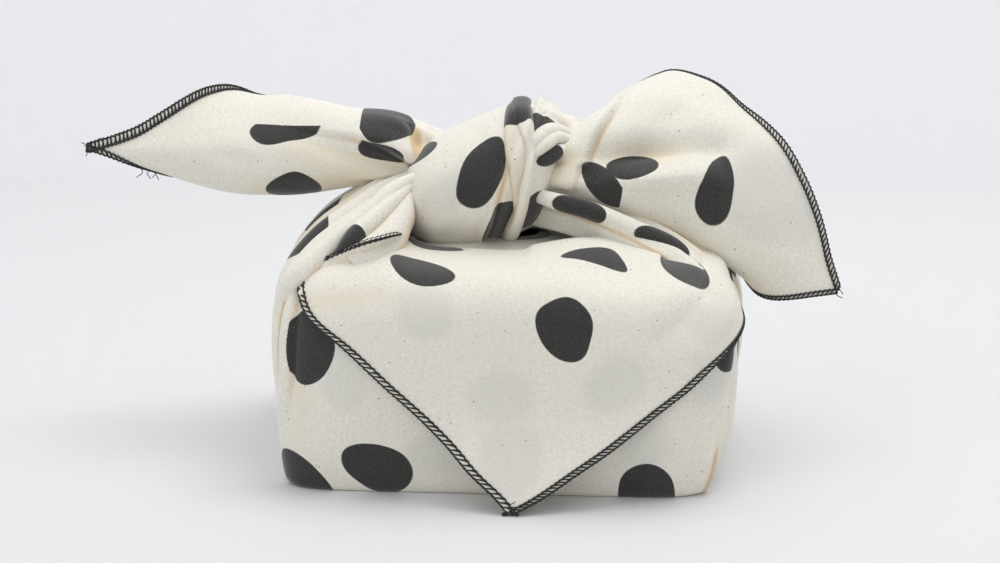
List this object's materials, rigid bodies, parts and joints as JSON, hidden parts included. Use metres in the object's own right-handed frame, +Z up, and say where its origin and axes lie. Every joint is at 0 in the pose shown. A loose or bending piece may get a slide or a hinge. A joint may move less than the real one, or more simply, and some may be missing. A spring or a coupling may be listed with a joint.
{
  "type": "furoshiki wrap",
  "caption": "Square cotton wrapping cloth with dark printed spots and overlocked edge, folded round a squarish parcel, with a front flap and a square knot on top.",
  "frame": {"origin": "middle of the flat base that rests on the surface", "axes": "+Z up, -Y out of the front flap, +X along the two free corners towards the larger one"},
  "size_m": [0.337, 0.1849, 0.1671],
  "materials": {
    "calico": "unbleached cotton calico with dark printed spots, matt"
  },
  "bodies": {
    "root": {"wrap_cloth": "calico"}
  },
  "joints": []
}
